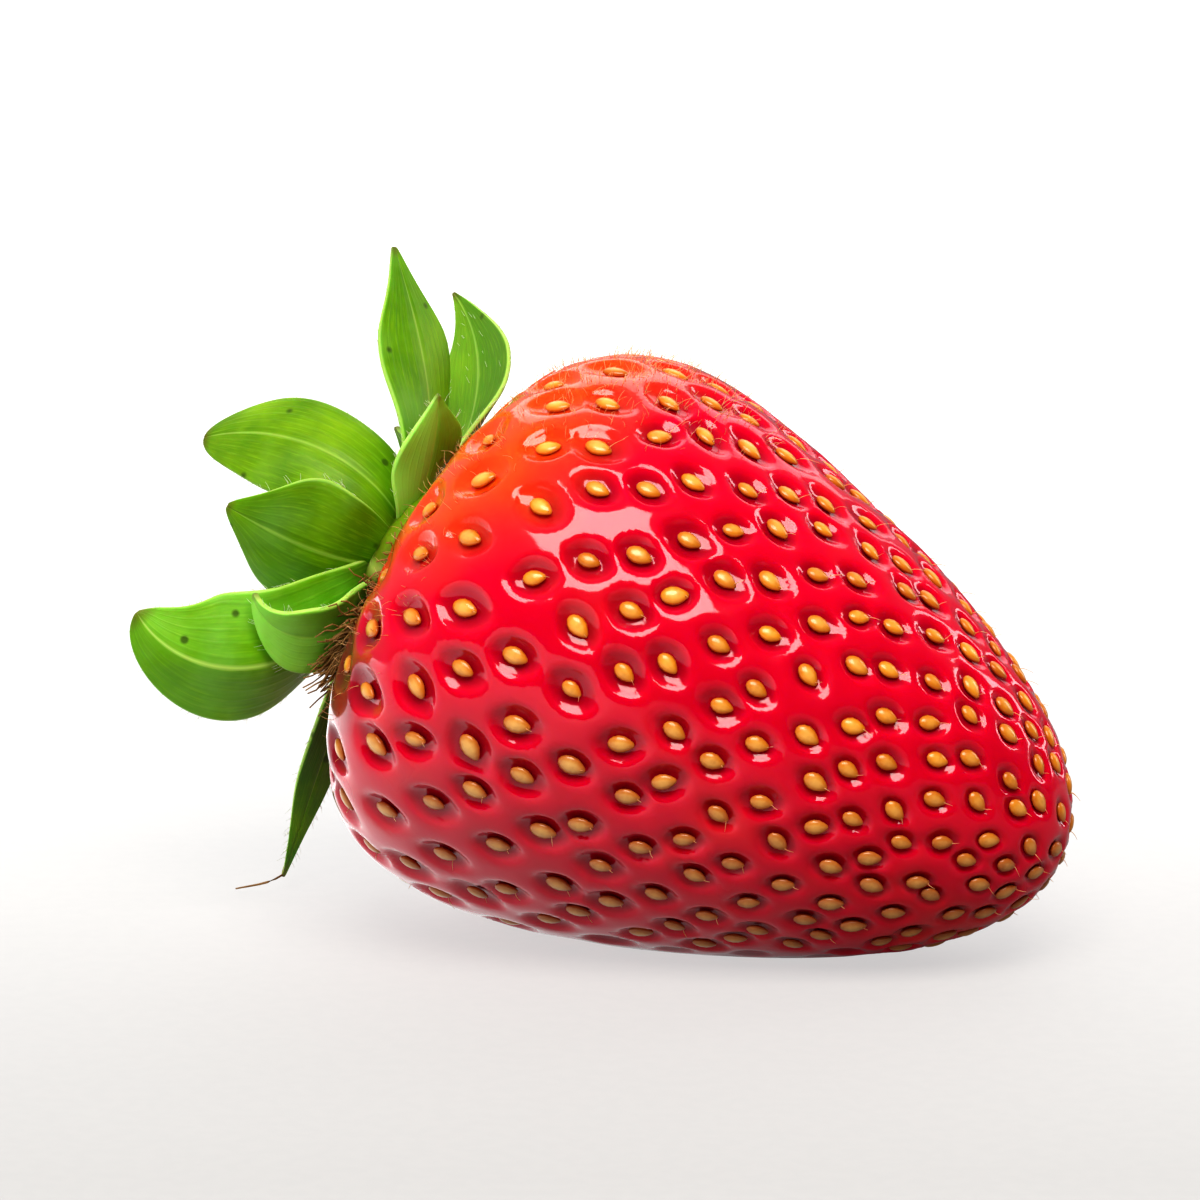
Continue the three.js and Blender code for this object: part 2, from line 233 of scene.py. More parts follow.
def resting_place():
    """Where the part's origin is, in the leaned fruit's frame: the middle of the flat it rests on."""
    a = math.pi * np.arange(721) / 720
    belly = leaning(skin(np.stack([-np.cos(a), np.zeros(721), -np.sin(a)], 1)))
    lowest = belly[:, 2].min()
    flat = belly[belly[:, 2] < lowest + SINK, 0]
    return np.array([(flat.min() + flat.max()) / 2, 0, lowest + SINK])


RESTING_PLACE = resting_place()


def in_part(points):
    """Points in the fruit's frame, moved to the part's. Both are in mm."""
    return leaning(points) - RESTING_PLACE


def calyx_seat():
    """The turn and the place of the calyx's own frame, whose origin is a gap behind the fruit's broad end."""
    point, normal = (v[0] for v in surface(np.array([[-1.0, 0, 0]]))[:2])
    turned = Vector((-1, 0, 0)).rotation_difference(Vector(normal)).to_matrix()
    return np.array(turned), point + normal * GAP


CALYX_TURN, CALYX_PLACE = calyx_seat()


def from_calyx(points):
    """Points in the calyx's frame, moved to the part's."""
    return in_part(points @ CALYX_TURN.T + CALYX_PLACE)


def cell(c):
    """Spacing of the achenes where the skin's c has this value, from 1 at the calyx to -1 at the tip."""
    return TIP_CELL + (SHOULDER_CELL - TIP_CELL) * ((1 + c) / 2) ** 1.1


def achene_directions():
    """The achenes stand on one spiral, a golden angle apart, each with the same share of skin around it."""
    random = seeded(SPIRAL_SEED)
    steps = 2000
    polar = np.pi - np.pi * np.arange(steps + 1) / steps
    ring = skin(np.stack([-np.cos(polar), np.sin(polar), np.zeros(steps + 1)], 1))
    reach = np.abs(ring[:, 1])
    width = np.linalg.norm(np.diff(ring, axis=0), axis=1)
    band = np.pi * (reach[1:] + reach[:-1]) * width
    packing = 0.87  # the skin that an achene takes up, as a share of its spacing squared
    rooms = np.concatenate([[0], np.cumsum(band / (packing * cell(np.cos(polar[1:])) ** 2))])
    found = []
    n = i = 0
    while n + 0.5 < rooms[-1]:
        while rooms[i] < n + 0.5:
            i += 1
        a = polar[i] + 0.04 * (random() - 0.5)
        turn = n * GOLDEN_ANGLE + 0.07 * (random() - 0.5) / math.sin(a)
        found.append((-math.cos(a), math.sin(a) * math.cos(turn), math.sin(a) * math.sin(turn)))
        n += 1
    q = np.array(found)
    p = skin(q)
    return q[(p[:, 0] > 0) | (np.hypot(p[:, 1], p[:, 2]) > BARE_NECK)]


# ------------------------------------------------------------------ settings in the sidebar


def colour_setting(name, description, default):
    return bpy.props.FloatVectorProperty(
        name=name, description=description, subtype="COLOR", size=3, min=0, max=1, default=linear(default)
    )


def length_setting(name, description, millimetres):
    return bpy.props.FloatProperty(
        name=name, description=description, default=millimetres * MM, unit="LENGTH", subtype="DISTANCE"
    )


def share_setting(name, description, share):
    return bpy.props.FloatProperty(name=name, description=description, default=share, subtype="FACTOR")


def angle_setting(name, description, degrees):
    return bpy.props.FloatProperty(
        name=name, description=description, default=math.radians(degrees), subtype="ANGLE"
    )


class FleshSettings(bpy.types.PropertyGroup):
    pit_depth: share_setting("Pit depth", "Depth of a pit as a share of the spacing", 0.13)
    pit_width: share_setting("Pit width", "Reach of a pit as a share of the spacing", 0.4)
    ripe: colour_setting("Ripe red", "Skin where it is fully ripe", "dc0036")
    # Also painted shade: the pits are mixed towards this deeper red by their depth.
    deep: colour_setting("Deep red", "Skin inside the pits", "b00028")
    blush: colour_setting("Shoulder orange", "Skin that has coloured least, near the calyx", "ee5212")
    # Painted shade: wine-brown that darkens the low side of the neck, under the calyx and its stamens.
    stain: colour_setting("Neck brown", "Bruised skin low on the neck, where the stamens withered", "561820")


class AcheneSettings(bpy.types.PropertyGroup):
    length: length_setting("Length", "Length of an achene", 1.6)
    width: length_setting("Width", "Width of an achene", 1.1)
    height: length_setting("Height", "Height of an achene over its pit's floor", 0.55)
    style: length_setting("Style", "Length of the dried style on an achene", 1.0)
    golden: colour_setting("Golden", "Sunny side of an achene", "f6a42a")
    # Painted shade: achenes whose outward side faces the ground are mixed towards this duller tan.
    dull: colour_setting("Shaded", "Achenes on the side that lay in the shade", "b07e50")
    # Also painted shade: the foot of each achene, where it sits in its pit, is mixed towards this brown.
    brown: colour_setting("Brown", "Edge of an achene", "a8480c")
    # Painted highlight: the top of each achene is mixed towards this light yellow.
    crown: colour_setting("Crown", "Lightest part of an achene, on top", "ffd98a")
    thread: colour_setting("Style", "A dried style", "d08048")


class CalyxSettings(bpy.types.PropertyGroup):
    thickness: length_setting("Thickness", "Thickness of a leaf blade", 0.34)
    hair: length_setting("Hair", "Length of the hairs along the edges", 0.45)
    bright: colour_setting("Young green", "A bright young blade", "8eb600")
    dark: colour_setting("Old green", "A dark old blade", "427400")
    rim: colour_setting("Rim", "The pale edge of a blade", "bce06c")
    # rim and pale also serve as painted light: a blade whose tone is past 1 is mixed towards rim, and past
    # 1.6 towards pale.
    pale: colour_setting("Pale ribs", "The rib and edge of a blade", "c8e67c")
    streak: colour_setting("Streaks", "Fine lighter streaks along a blade", "b4dc3a")
    back: colour_setting("Underside", "The downy side of a blade", "6e9c2c")
    bloom: colour_setting("Bloom", "Cloudy grey-green patches on a blade", "9cc474")
    # Painted correction of light: multiplies the colour of blades that the fruit's red light falls on.
    cool: colour_setting("Cool filter", "Takes the warmth out of a blade that the fruit reddens", "a6ffcb")
    speck: colour_setting("Specks", "Small dark specks on a blade", "34480c")
    withered: colour_setting("Withered", "Dried stamens and hairs at the neck", "6b4426")


class StageSettings(bpy.types.PropertyGroup):
    lens: bpy.props.FloatProperty(
        name="Lens", description="Focal length of the camera in mm", default=225, subtype="DISTANCE_CAMERA"
    )
    azimuth: angle_setting("Azimuth", "How far round the camera stands", CAMERA_AZIMUTH)
    elevation: angle_setting("Elevation", "How far above the fruit it stands", CAMERA_ELEVATION)
    fill: share_setting("Fill", "Share of the view's width that the fruit takes", 0.78)
    # The floor's base colour, under the painted glow that lights it by itself and keeps shadows on it pale.
    sheet: colour_setting("Floor", "The opal sheet that the fruit lies on", "767472")


# ------------------------------------------------------------------ making meshes


def start_piece(add_primitive, **settings):
    """A new piece that starts as a primitive, with nothing else selected."""
    bpy.ops.object.select_all(action="DESELECT")
    add_primitive(**settings)
    return bpy.context.object


def write_mesh(piece, points):
    """Puts points, in mm in the part's frame, in the piece's mesh in metres."""
    piece.data.vertices.foreach_set("co", (np.asarray(points) * MM).astype(np.float32).ravel())
    piece.data.update()


def read_mesh(piece):
    """The piece's points, as an array."""
    co = np.empty(len(piece.data.vertices) * 3, np.float32)
    piece.data.vertices.foreach_get("co", co)
    return co.reshape(-1, 3).astype(float)


def set_attributes(piece, **attributes):
    """Gives each point of the piece these values. One number goes to all points, and three columns make a
    vector."""
    for name, values in attributes.items():
        kind, key = ("FLOAT_VECTOR", "vector") if np.ndim(values) == 2 else ("FLOAT", "value")
        if np.ndim(values) == 0:
            values = np.full(len(piece.data.vertices), values)
        attribute = piece.data.attributes.new(name, kind, "POINT")
        attribute.data.foreach_set(key, np.asarray(values, np.float32).ravel())


def mesh_piece(name, points, faces):
    """A new piece from points in mm in the part's frame."""
    mesh = bpy.data.meshes.new(name)
    mesh.from_pydata((np.asarray(points) * MM).tolist(), [], [tuple(f) for f in faces])
    mesh.update()
    piece = bpy.data.objects.new(name, mesh)
    bpy.context.scene.collection.objects.link(piece)
    return piece


def apply_modifier(piece, kind, **settings):
    modifier = piece.modifiers.new(kind.title(), kind)
    for key, value in settings.items():
        setattr(modifier, key, value)
    bpy.context.view_layer.objects.active = piece
    bpy.ops.object.modifier_apply(modifier=modifier.name)


def strands(paths, radius, taper, sides=3):
    """Points and faces of thin closed tubes that taper by a share. paths is (tubes, rings, 3)."""
    rings = paths.shape[1]
    radii = radius * (1 - taper * np.linspace(0, 1, rings))
    ahead = unit(np.gradient(paths, axis=1) + 1e-9)
    reference = np.where(np.abs(ahead[..., :1]) < 0.8, [1.0, 0, 0], [0, 1.0, 0])
    first = unit(np.cross(ahead, reference))
    second = np.cross(ahead, first)
    angle = 2 * np.pi * np.arange(sides) / sides
    around = first[:, :, None] * np.cos(angle)[:, None] + second[:, :, None] * np.sin(angle)[:, None]
    points = (paths[:, :, None] + around * radii[:, None, None]).reshape(-1, 3)
    faces = []
    for start in range(0, len(points), rings * sides):
        last = start + (rings - 1) * sides
        for ring in range(start, last, sides):
            for k in range(sides):
                a, b = ring + k, ring + (k + 1) % sides
                faces.append((a, b, b + sides, a + sides))
        faces.append(range(start, start + sides)[::-1])
        faces.append(range(last, last + sides))
    return points, faces


def edit_all(operator, **settings):
    """Runs an edit mode operator on the whole of the active piece's mesh."""
    bpy.ops.object.mode_set(mode="EDIT")
    bpy.ops.mesh.select_all(action="SELECT")
    operator(**settings)
    bpy.ops.object.mode_set(mode="OBJECT")


def dress(piece, name, material, replaces=()):
    """Names a finished piece, smooths it, gives it its material and hands it to the frame."""
    piece.name = piece.data.name = name
    bpy.ops.object.select_all(action="DESELECT")
    piece.select_set(True)
    bpy.context.view_layer.objects.active = piece
    bpy.ops.object.shade_smooth()
    piece.data.materials.clear()
    piece.data.materials.append(material)
    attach(piece, "root")
    if replaces:
        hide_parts(*replaces)
    return piece


# ------------------------------------------------------------------ materials


def add_node(tree, kind, inputs=None, output=0, **settings):
    """Adds a node with its settings, and gives one of its outputs. inputs gives each socket a value, or
    another node's output."""
    node = tree.nodes.new("ShaderNode" + kind)
    for key, value in settings.items():
        setattr(node, key, value)
    for socket, value in (inputs or {}).items():
        if isinstance(value, bpy.types.NodeSocket):
            tree.links.new(value, node.inputs[socket])
        else:
            node.inputs[socket].default_value = value
    return node.outputs[output] if node.outputs else None


def new_material(name, *attributes):
    """An empty node material, its tree, the place on the piece, which patterns follow, and the piece's
    attributes."""
    material = bpy.data.materials.new(name)
    material.use_nodes = True
    tree = material.node_tree
    tree.nodes.clear()
    place = add_node(tree, "TexCoord", output="Object")
    reads = [add_node(tree, "Attribute", output="Fac", attribute_name=attribute) for attribute in attributes]
    return material, tree, place, *reads


def painted(tree, base, layers):
    """A base colour with layers over it. A layer has what spreads it, the value of that at which it starts
    and the one at which it is full, its share there, its colour, and its way of blending if it doesn't
    just cover."""
    colour = rgba(base)
    for value, start, full, share, over, *blend in layers:
        spread = add_node(tree, "MapRange", {0: value, 1: start, 2: full, 4: share})
        inputs = {0: spread, 6: colour, 7: rgba(over)}
        colour = add_node(tree, "Mix", inputs, 2, data_type="RGBA", blend_type=blend[0] if blend else "MIX")
    return colour


def finished(material, look):
    shader = add_node(material.node_tree, "BsdfPrincipled", look)
    add_node(material.node_tree, "OutputMaterial", {"Surface": shader})
    return material


def ripe_flesh(settings):
    """Strawberry receptacle, grown: wet-looking waxy skin over juicy tissue. Light sinks in and comes back
    red, the pits are painted a deeper red as shade, the low side of the neck under the calyx is painted
    wine-brown as shade, and the last part to ripen under the calyx stays orange."""
    material, tree, place, pit, blush, stain = new_material("ripe_strawberry_skin", "pit", "blush", "stain")
    mottle = add_node(tree, "TexNoise", {"Vector": place, "Scale": 260.0, "Detail": 3.0})  # 4 mm blotches
    ripeness = add_node(tree, "TexNoise", {"Vector": place, "Scale": 90.0, "Detail": 2.0})  # 11 mm patches
    skin_cells = add_node(tree, "TexNoise", {"Vector": place, "Scale": 2600.0})  # 0.4 mm, to show at all
    unripe = add_node(tree, "Math", {0: blush, 1: ripeness}, operation="ADD")
    patchy = add_node(tree, "MapRange", {0: mottle, 1: 0.3, 2: 0.6, 3: 0.4, 4: 0.85})
    stained = add_node(tree, "Math", {0: stain, 1: patchy}, operation="MULTIPLY")
    layers = (
        # painted shade: the deeper the pit, the more it is mixed towards the deeper red
        (pit, 0.25, 1.0, 1.0, settings.deep),
        (unripe, 0.62, 1.25, 1.0, settings.blush),
        (mottle, 0.45, 0.8, 0.25, settings.deep),
        # painted shade, in blotches, on the low side of the neck under the calyx
        (stained, 0.0, 1.0, 1.0, settings.stain),
    )
    look = {
        "Base Color": painted(tree, settings.ripe, layers),
        "Roughness": add_node(tree, "MapRange", {0: mottle, 1: 0.3, 2: 0.7, 3: 0.26, 4: 0.36}),
        "Normal": add_node(tree, "Bump", {"Height": skin_cells, "Strength": 0.06, "Distance": 0.00006}),
        "IOR": 1.38,
        "Specular IOR Level": 0.1,
        "Subsurface Weight": 0.6,
        "Subsurface Radius": (3.0, 0.3, 0.4),
        "Subsurface Scale": 0.0006,
        "Coat Weight": 1.0,
        "Coat Roughness": 0.07,
        "Coat IOR": 1.5,
    }
    return finished(material, look)


def achene_hull(settings):
    """Achene wall, dry and woody, with a satin gloss: golden, with brown painted at its foot as shade where
    it sits in its pit, a painted highlight on its top, and painted shade on the achenes that face the ground.
    """
    material, tree, place, crown, tone, dull = new_material("achene_hull", "crown", "tone", "dull")
    grain = add_node(tree, "TexNoise", {"Vector": place, "Scale": 2200.0, "Detail": 2.0})  # 0.5 mm streaks
    layers = (
        (tone, 0.0, 1.0, 1.0, settings.brown),
        # painted shade on the achenes that face the ground
        (dull, 0.0, 1.0, 1.0, settings.dull),
        # painted shade in brown at each achene's foot, and a painted highlight on its top
        (crown, 0.95, 0.25, 1.0, settings.brown),
        (crown, 0.8, 1.0, 0.4, settings.crown),
        (grain, 0.5, 0.8, 0.3, settings.brown),
    )
    look = {
        "Base Color": painted(tree, settings.golden, layers),
        "Roughness": 0.32,
        "Normal": add_node(tree, "Bump", {"Height": grain, "Strength": 0.3, "Distance": 0.00005}),
        "Coat Weight": 0.4,
        "Coat Roughness": 0.1,
    }
    return finished(material, look)


def leaf_tissue(settings):
    """Sepal blade, grown: thin soft tissue that light passes through, with parallel veins that meet at the
    point, a pale thin rim and a greyer downy underside."""
    material, tree, place, leaf_tone, worn, rib, cool, underside = new_material(
        "sepal_blade", "tone", "worn", "rib", "cool", "underside"
    )
    chart = add_node(tree, "UVMap", uv_map="blade")
    across, along = (add_node(tree, "SeparateXYZ", {0: chart}, axis) for axis in "XY")
    cloud = add_node(tree, "TexNoise", {"Vector": place, "Scale": 300.0, "Detail": 4.0})  # 3 mm clouds
    bloom = add_node(tree, "TexNoise", {"Vector": place, "Scale": 170.0, "Detail": 2.0})  # 6 mm patches
    specks = add_node(tree, "TexVoronoi", {"Vector": place, "Scale": 420.0}, "Distance")  # 2.4 mm apart
    fibre_chart = add_node(tree, "Mapping", {"Vector": chart, "Scale": (26.0, 3.0, 1.0)})
    fibre = add_node(tree, "TexNoise", {"Vector": fibre_chart, "Scale": 1.0, "Detail": 2.0})
    streak_chart = add_node(tree, "Mapping", {"Vector": chart, "Scale": (70.0, 9.0, 1.0)})
    streak = add_node(tree, "TexNoise", {"Vector": streak_chart, "Scale": 1.0, "Detail": 3.0})

    wander = add_node(tree, "Math", {0: cloud, 1: 0.05, 2: -0.025}, operation="MULTIPLY_ADD")
    wavy = add_node(tree, "Math", {0: across, 1: wander}, operation="ADD")
    turns = add_node(tree, "Math", {0: wavy, 1: 2 * math.pi * VEINS}, operation="MULTIPLY")
    beat = add_node(tree, "Math", {0: turns}, operation="SINE")
    vein = add_node(tree, "MapRange", {0: beat, 1: 0.55, 2: 1.0})
    sideways = add_node(tree, "Math", {0: across, 1: 2.0, 2: -1.0}, operation="MULTIPLY_ADD")
    edge = add_node(tree, "Math", {0: sideways}, operation="ABSOLUTE")
    midrib = add_node(tree, "MapRange", {0: edge, 1: 0.05, 2: 0.0})
    ribbed = add_node(tree, "Math", {0: midrib, 1: rib}, operation="MULTIPLY")
    clouded = add_node(tree, "Math", {0: cloud, 1: 1.4, 2: -0.7}, operation="MULTIPLY_ADD")
    tone = add_node(tree, "Math", {0: leaf_tone, 1: clouded}, operation="ADD")
    for start, full, share in ((0.12, 0.0, 0.3), (0.95, 1.0, 0.7)):  # at the root, then at the point
        end = add_node(tree, "MapRange", {0: along, 1: start, 2: full, 4: share})
        worn = add_node(tree, "Math", {0: worn, 1: end}, operation="MAXIMUM")
    layers = (
        (tone, 0.0, 1.0, 1.0, settings.bright),
        (along, 0.4, 0.0, 0.6, settings.dark),
        (bloom, 0.52, 0.68, 0.3, settings.bloom),
        (fibre, 0.4, 0.75, 0.22, settings.dark),
        (vein, 0.0, 1.0, 0.04, settings.rim),
        (underside, 0.0, 1.0, 0.6, settings.back),
        # painted light: past a tone of 1 the blade is mixed towards the rim colour, past 1.6 towards the pale
        # one
        (tone, 1.0, 1.8, 0.9, settings.rim),
        (tone, 1.6, 2.4, 0.9, settings.pale),
        # painted correction of light: takes out the red that the fruit's light throws on the blade
        (cool, 0.0, 1.0, 1.0, settings.cool, "MULTIPLY"),
        (streak, 0.52, 0.8, 0.28, settings.streak),
        (ribbed, 0.0, 1.0, 1.0, settings.pale),
        (edge, 0.955, 1.0, 0.7, settings.pale),
        (worn, 0.0, 1.0, 1.0, settings.withered),
        (specks, 0.13, 0.07, 0.75, settings.speck),
    )
    furrows = add_node(tree, "Math", {0: fibre, 1: 0.5}, operation="MULTIPLY")
    ridges = add_node(tree, "Math", {0: vein, 1: 0.6, 2: furrows}, operation="MULTIPLY_ADD")
    look = {
        "Base Color": painted(tree, settings.dark, layers),
        "Roughness": 0.45,
        "Specular IOR Level": 0.3,
        "Normal": add_node(tree, "Bump", {"Height": ridges, "Strength": 0.22, "Distance": 0.0001}),
        "Subsurface Weight": 0.4,
        "Subsurface Radius": (0.3, 0.9, 0.1),
        "Subsurface Scale": 0.0007,
    }
    return finished(material, look)


def dry_thread(name, colour, lighter):
    """Dried plant hair: matt, pale and a little see-through at its end."""
    material, tree, place = new_material(name)
    patch = add_node(tree, "TexNoise", {"Vector": place, "Scale": 700.0})  # 1.4 mm patches
    look = {
        "Base Color": painted(tree, colour, [(patch, 0.0, 1.0, 1.0, lighter)]),
        "Roughness": 0.55,
        "Subsurface Weight": 0.3,
        "Subsurface Radius": (0.5, 0.4, 0.3),
        "Subsurface Scale": 0.0002,
    }
    return finished(material, look)


def floor_sheet(settings):
    """Floor sheet, smooth and matt, with a painted glow: it shines by itself, more towards the back, and
    keeps the shadows on it pale. The camera sees the glow, reflections see it brighter on the left, and
    diffuse rays get only a small share of it, so that the fruit's underside stays dark."""
    material, tree, place = new_material("opal_acrylic")
    x, y = (add_node(tree, "SeparateXYZ", {0: place}, axis) for axis in "XY")
    tooth = add_node(tree, "TexNoise", {"Vector": place, "Scale": 900.0})  # 1.1 mm patches
    camera, glossy, diffuse = (
        add_node(tree, "LightPath", output=f"Is {kind} Ray") for kind in ("Camera", "Glossy", "Diffuse")
    )
    # painted reflection: the floor glows brighter in the skin's reflections on the left than on the right
    mirrored = add_node(tree, "MapRange", {0: x, 1: -0.03, 2: 0.01, 3: 2.1, 4: 0.1})
    seen = add_node(tree, "Math", {0: glossy, 1: mirrored, 2: camera}, operation="MULTIPLY_ADD")
    seen = add_node(tree, "Math", {0: diffuse, 1: 0.3, 2: seen}, operation="MULTIPLY_ADD")
    # painted light: the glow grows towards the back of the floor
    farther = add_node(tree, "MapRange", {0: y, 1: -0.05, 2: 0.25, 3: 0.35, 4: 0.95})
    look = {
        "Base Color": painted(tree, settings.sheet, [(tooth, 0.4, 0.6, 0.1, linear("606060"))]),
        "Roughness": 0.8,
        "Specular IOR Level": 0.1,
        "Emission Color": (1, 1, 1, 1),
        "Emission Strength": add_node(tree, "Math", {0: seen, 1: farther}, operation="MULTIPLY"),
    }
    return finished(material, look)


# ------------------------------------------------------------------ flesh


def pit_shares(points, centres, ahead, side, reach):
    """How far each point is from its nearest pit's middle, where 1 is the pit's lip, and which pit that is.
    A pit is longer than wide, with its ends drawn out towards the calyx and the tip."""
    share = np.empty(len(points))
    nearest = np.empty(len(points), int)
    batch = 4000
    for start in range(0, len(points), batch):
        part = slice(start, start + batch)
        apart = points[part, None] - centres
        long = (apart * ahead).sum(2) / (reach * PIT_LONG)
        wide = (apart * side).sum(2) / (reach * PIT_WIDE)
        far = (apart * apart).sum(2) / reach**2
        eye = np.sqrt(long**2 + wide**2 * (1 + 0.5 * long**2) + np.maximum(0, far - 4))
        nearest[part] = eye.argmin(1)
        share[part] = eye.min(1)
    return share, nearest


def pits(settings):
    """The directions of the pits, then their middles, the two ways they stretch and how far they reach."""
    q, centres, ahead, side, _, random = achene_frames()
    reach = settings.pit_width * cell(-q[:, 0]) * random.uniform(0.88, 1.1, len(q))
    return q, (centres, ahead, side, reach)


def flesh_height(q, settings, shapes):
    """How far the flesh stands over the smooth skin at q, and its depth in a pit, from 0 to 1."""
    point = skin(q)
    share, _ = pit_shares(point, *shapes)
    sunk = 1 - share**3.4
    rounding = 0.1  # of the lip
    bowl = 0.5 * (sunk + np.sqrt(sunk**2 + rounding**2))
    swell = np.array([noise.noise(Vector(p) * 0.16) for p in point])  # waves about 6 mm long
    height = 0.12 * swell + 0.05 * smoothstep(share, 1, 1.4) - settings.pit_depth * cell(-q[:, 0]) * bowl
    return height * smoothstep(in_part(point)[:, 2], 0, RELIEF_FADE), bowl


def crowded(q, share, nearest, centres):
    """The directions q, drawn towards the lips of the pits, where the mesh needs its points most."""
    pull, far = 0.05, 1.6
    wave = pull * np.sin(np.pi * np.clip(share, 0, far) / 0.92)
    wave *= 1 - smoothstep(share, 1.2, far)
    middle = centres[nearest]
    return unit(q + (q - middle) * (wave / np.maximum(share, 0.05))[:, None])


class STRAWBERRY_OT_flesh(bpy.types.Operator):
    """Models the red flesh, with a pit round each achene"""

    bl_idname = "strawberry.flesh"
    bl_label = "Flesh"

    def execute(self, context):
        settings = context.scene.strawberry_flesh
        flesh = start_piece(bpy.ops.mesh.primitive_cube_add, size=2)
        edit_all(bpy.ops.mesh.subdivide, number_cuts=125)  # leaves about 0.35 mm between the skin's points
        q = unit(np.tan(read_mesh(flesh) * math.pi / 4))
        achenes, shapes = pits(settings)
        for _ in range(2):
            share, nearest = pit_shares(skin(q), *shapes)
            q = crowded(q, share, nearest, achenes)
        point, normal, *_ = surface(q)
        height, bowl = flesh_height(q, settings, shapes)
        placed = in_part(point + normal * height[:, None])
        placed[:, 2] = np.maximum(0, placed[:, 2])
        write_mesh(flesh, placed)
        c = -q[:, 0]
        upness = 0.5 + 0.5 * leaning(normal)[:, 2]
        top = smoothstep(c, 0.15, 0.85) * smoothstep(upness, 0.6, 0.92)
        neck = smoothstep(c, 0.955, 0.99) * smoothstep(upness, 0.3, 0.6)
        # painted shade: the low side of the neck, under the calyx and its stamens, is marked for the
        # wine-brown
        bruised_side = np.array([-0.87, -0.49])
        nearness = unit(q[:, 1:]) @ bruised_side
        stain = smoothstep(c, 0.7, 0.82) * smoothstep(nearness, 0.84, 0.95)
        set_attributes(flesh, pit=bowl, blush=np.maximum(top, neck), stain=stain)
        edit_all(bpy.ops.mesh.normals_make_consistent, inside=False)
        dress(flesh, "flesh", ripe_flesh(settings), ["berry"])
        return {"FINISHED"}


# ------------------------------------------------------------------ achenes


def achene_frames():
    """The direction of each achene, its point, which way it points, its side and its up, and the random
    numbers that follow."""
    q = achene_directions()
    point, normal, along, _ = surface(q)
    ahead = unit(along)
    side = np.cross(normal, ahead)
    random = np.random.default_rng(SWING_SEED)
    twist = np.radians(random.normal(0, ACHENE_SWING, len(q)))[:, None]
    ahead = ahead * np.cos(twist) + side * np.sin(twist)
    return q, point, ahead, np.cross(normal, ahead), normal, random


class STRAWBERRY_OT_achenes(bpy.types.Operator):
    """Models one achene and sets a copy in every pit"""

    bl_idname = "strawberry.achenes"
    bl_label = "Achenes"

    def execute(self, context):
        settings = context.scene.strawberry_achenes
        seed = start_piece(bpy.ops.mesh.primitive_uv_sphere_add, segments=10, ring_count=7, radius=1)
        half = (settings.length / 2 / MM, settings.width / 2 / MM, settings.height / 2 / MM)
        edit_all(bpy.ops.transform.rotate, value=math.pi / 2, orient_axis="Y", center_override=(0, 0, 0))
        edit_all(bpy.ops.transform.resize, value=half, center_override=(0, 0, 0))
        shape = read_mesh(seed)
        taper = 1 - ACHENE_TAPER * smoothstep(shape[:, 0], -0.1, half[0])
        shape[:, 1] *= taper
        shape[:, 2] *= 0.6 + 0.4 * taper
        faces = [tuple(f.vertices) for f in seed.data.polygons]
        bpy.data.objects.remove(seed)
        q, point, ahead, side, normal, random = achene_frames()
        shown = in_part(point)[:, 2] > RELIEF_FADE
        q, point, ahead, side, normal = (v[shown] for v in (q, point, ahead, side, normal))
        here = cell(-q[:, 0])
        depth = context.scene.strawberry_flesh.pit_depth * here
        swell, tone = random.normal((0, 0.16), (0.06, 0.14), (len(q), 2)).T
        size = (1 + swell) * (0.86 + 0.14 * smoothstep(here, TIP_CELL, SHOULDER_CELL))
        body = shape * size[:, None, None]
        placed = point[:, None] + body @ np.stack([ahead, side, normal], 1)
        placed += (normal * (half[2] * ACHENE_SEAT - depth)[:, None])[:, None]
        starts = range(0, len(q) * len(shape), len(shape))
        copies = [tuple(start + v for v in face) for start in starts for face in faces]
        achenes = mesh_piece("achenes", in_part(placed.reshape(-1, 3)), copies)
        # painted shade: the more an achene faces the ground, the more it is mixed towards the duller tan
        shaded = 0.75 * (1 - smoothstep(leaning(normal)[:, 2], -0.6, 0.35))
        # the height within each achene, which places the painted shade at its foot and the painted highlight
        # on its top
        crown = np.clip(0.5 + body[..., 2] / (2 * half[2]), 0, 1).ravel()
        tone, dull = np.repeat((np.clip(tone, 0, 1), shaded), len(shape), axis=1)
        set_attributes(achenes, crown=crown, tone=tone, dull=dull)
        dress(achenes, "achenes", achene_hull(settings))
        return {"FINISHED"}


